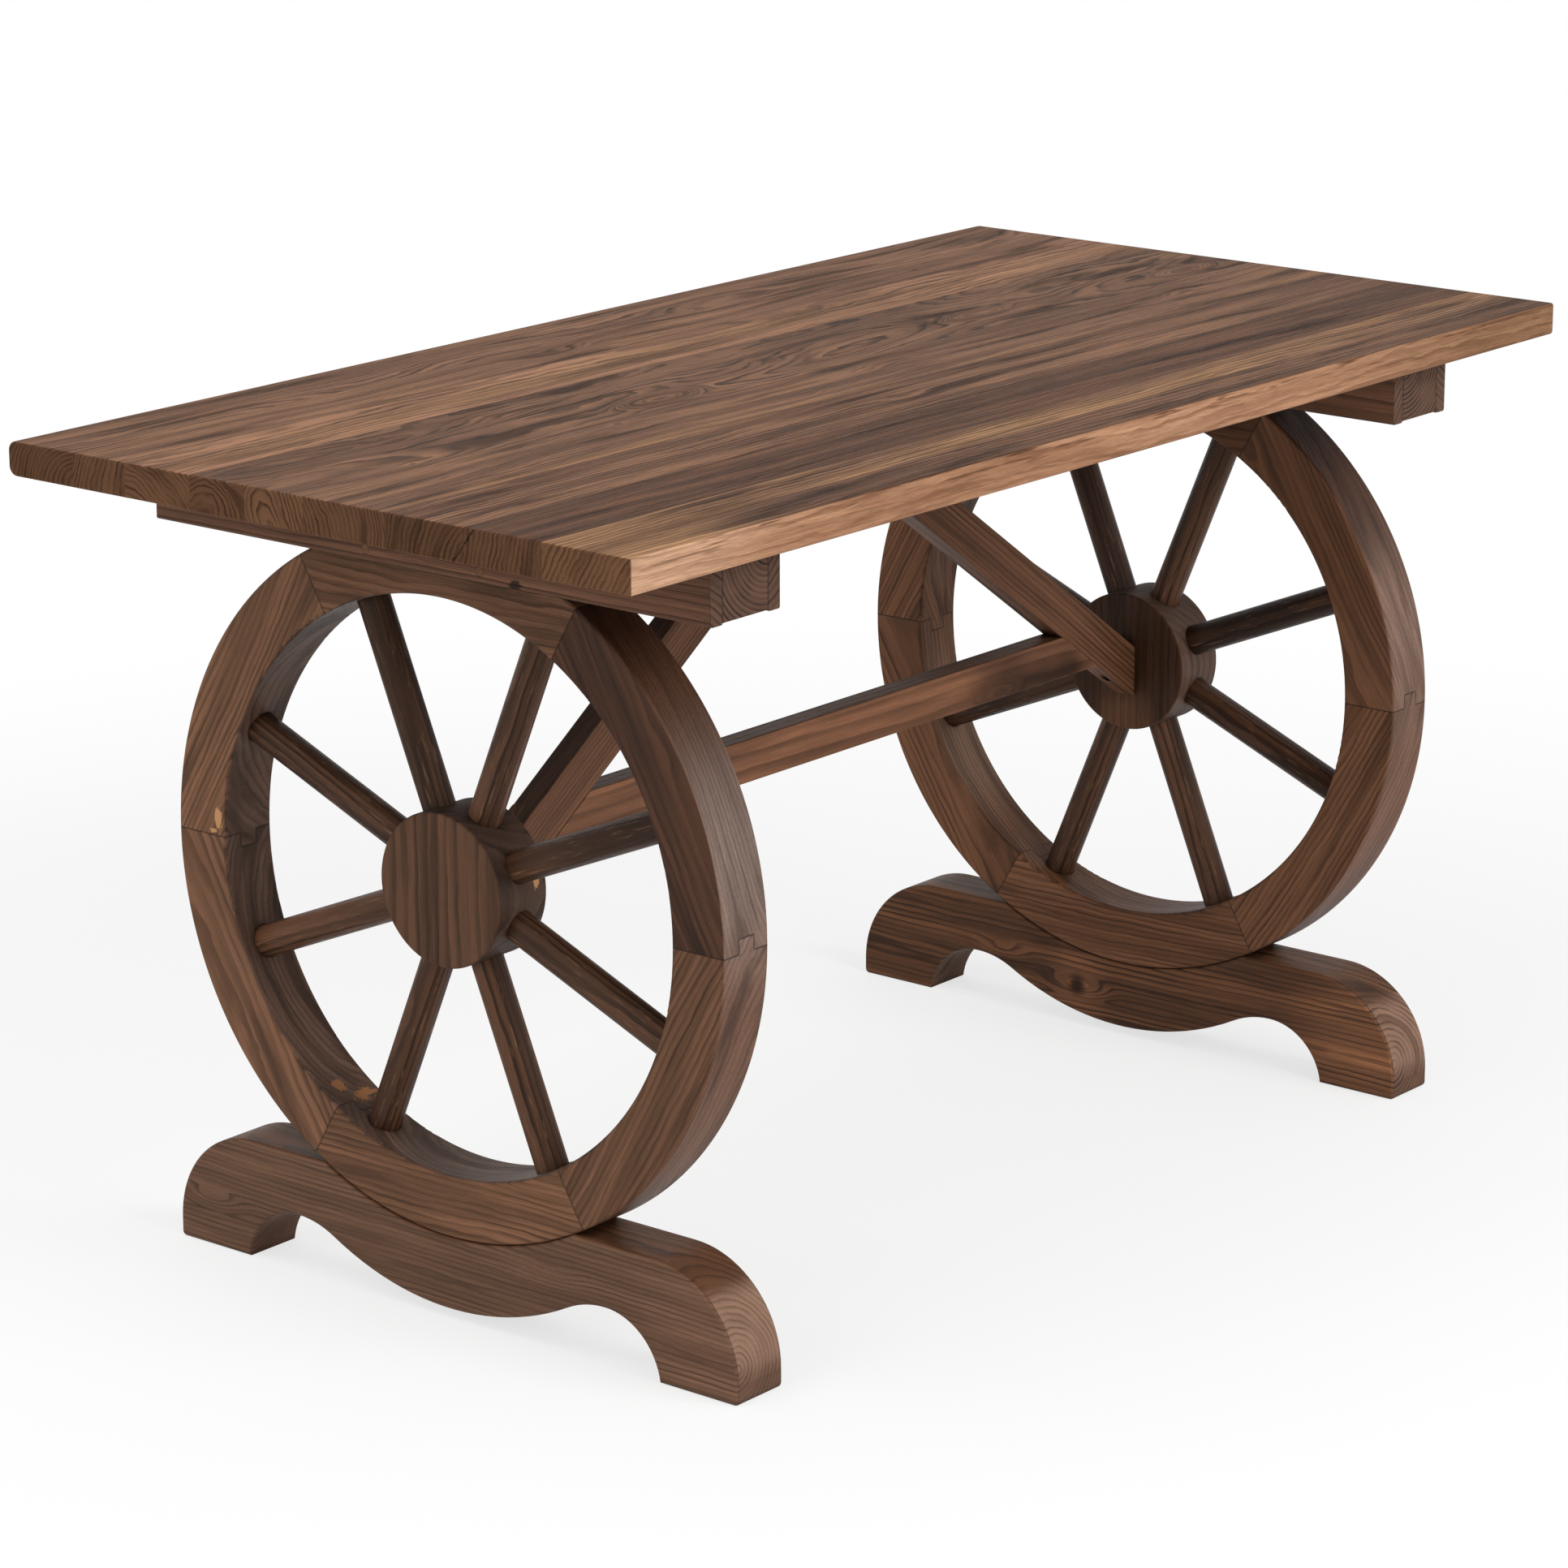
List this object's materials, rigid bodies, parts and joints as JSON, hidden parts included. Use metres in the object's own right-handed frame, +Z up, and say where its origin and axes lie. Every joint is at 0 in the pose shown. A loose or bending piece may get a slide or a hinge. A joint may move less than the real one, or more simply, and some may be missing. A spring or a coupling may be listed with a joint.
{
  "type": "wagon wheel table",
  "caption": "Rustic dining table with a plank top carried on spoked wheels set in saw-cut feet, with a stretcher and diagonal braces.",
  "frame": {"origin": "on the floor under the middle of the table", "axes": "+X along the length of the top, +Y across it towards the back edge, +Z up"},
  "size_m": [1.35, 0.69, 0.75],
  "materials": {
    "top_wood": "satin",
    "wheel_wood": "satin",
    "spoke_wood": "satin",
    "beam_wood": "satin",
    "rail_wood": "satin",
    "foot_wood": "satin",
    "bare_wood": "satin",
    "screw_steel": "satin"
  },
  "bodies": {
    "root": {"foot_screws": "screw_steel", "hub_dowels": "bare_wood", "hub_screws": "screw_steel", "lap_screws": "screw_steel", "left_beam_core": "beam_wood", "left_beam_inner_board": "beam_wood", "left_beam_outer_board": "beam_wood", "left_brace": "rail_wood", "left_felloe_1": "wheel_wood", "left_felloe_2": "wheel_wood", "left_felloe_3": "wheel_wood", "left_felloe_4": "wheel_wood", "left_felloe_5": "wheel_wood", "left_felloe_6": "wheel_wood", "left_foot": "foot_wood", "left_hub": "wheel_wood", "left_spoke_1": "spoke_wood", "left_spoke_2": "spoke_wood", "left_spoke_3": "spoke_wood", "left_spoke_4": "spoke_wood", "left_spoke_5": "spoke_wood", "left_spoke_6": "spoke_wood", "left_spoke_7": "spoke_wood", "left_spoke_8": "spoke_wood", "plank_1": "top_wood", "plank_2": "top_wood", "plank_3": "top_wood", "plank_4": "top_wood", "plank_5": "top_wood", "plank_6": "top_wood", "plank_7": "top_wood", "plank_8": "top_wood", "plank_9": "top_wood", "plank_screws": "screw_steel", "right_beam_core": "beam_wood", "right_beam_inner_board": "beam_wood", "right_beam_outer_board": "beam_wood", "right_brace": "rail_wood", "right_felloe_1": "wheel_wood", "right_felloe_2": "wheel_wood", "right_felloe_3": "wheel_wood", "right_felloe_4": "wheel_wood", "right_felloe_5": "wheel_wood", "right_felloe_6": "wheel_wood", "right_foot": "foot_wood", "right_hub": "wheel_wood", "right_spoke_1": "spoke_wood", "right_spoke_2": "spoke_wood", "right_spoke_3": "spoke_wood", "right_spoke_4": "spoke_wood", "right_spoke_5": "spoke_wood", "right_spoke_6": "spoke_wood", "right_spoke_7": "spoke_wood", "right_spoke_8": "spoke_wood", "rim_screws": "screw_steel", "screw_plugs": "bare_wood", "seat_screws": "screw_steel", "stretcher": "rail_wood"}
  },
  "joints": []
}
